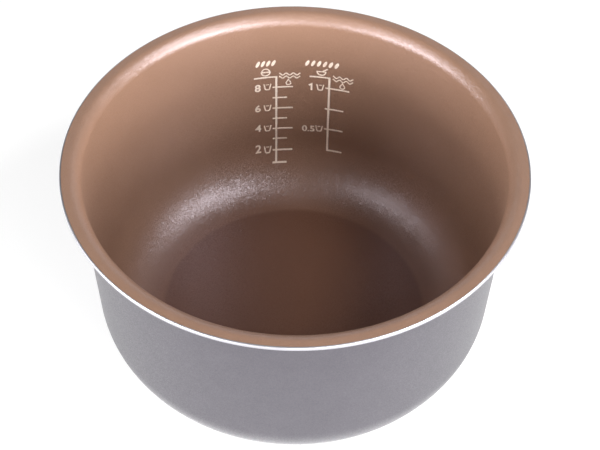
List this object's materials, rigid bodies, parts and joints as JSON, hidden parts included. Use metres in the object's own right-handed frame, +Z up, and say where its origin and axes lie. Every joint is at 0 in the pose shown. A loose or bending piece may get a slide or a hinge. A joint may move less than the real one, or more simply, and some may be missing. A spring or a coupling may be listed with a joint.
{
  "type": "rice cooker inner pot",
  "caption": "Round drawn cooking pot with a rounded corner, outward rolled flange, non-stick lining, grey outer coat and printed level scales; drops into a rice cooker body.",
  "frame": {"origin": "centre of the underside of the base", "axes": "+Z up out of the mouth, +Y towards the wall that carries the level scales"},
  "size_m": [0.24, 0.24, 0.1245],
  "materials": {
    "bare_aluminium": "polished",
    "bronze_nonstick": "satin",
    "grey_coat": "satin",
    "cream_ink": "matte"
  },
  "bodies": {
    "root": {"pot_shell": "bare_aluminium", "nonstick_lining": "bronze_nonstick", "outer_coat": "grey_coat", "rice_level_scale": "cream_ink", "porridge_level_scale": "cream_ink"}
  },
  "joints": []
}
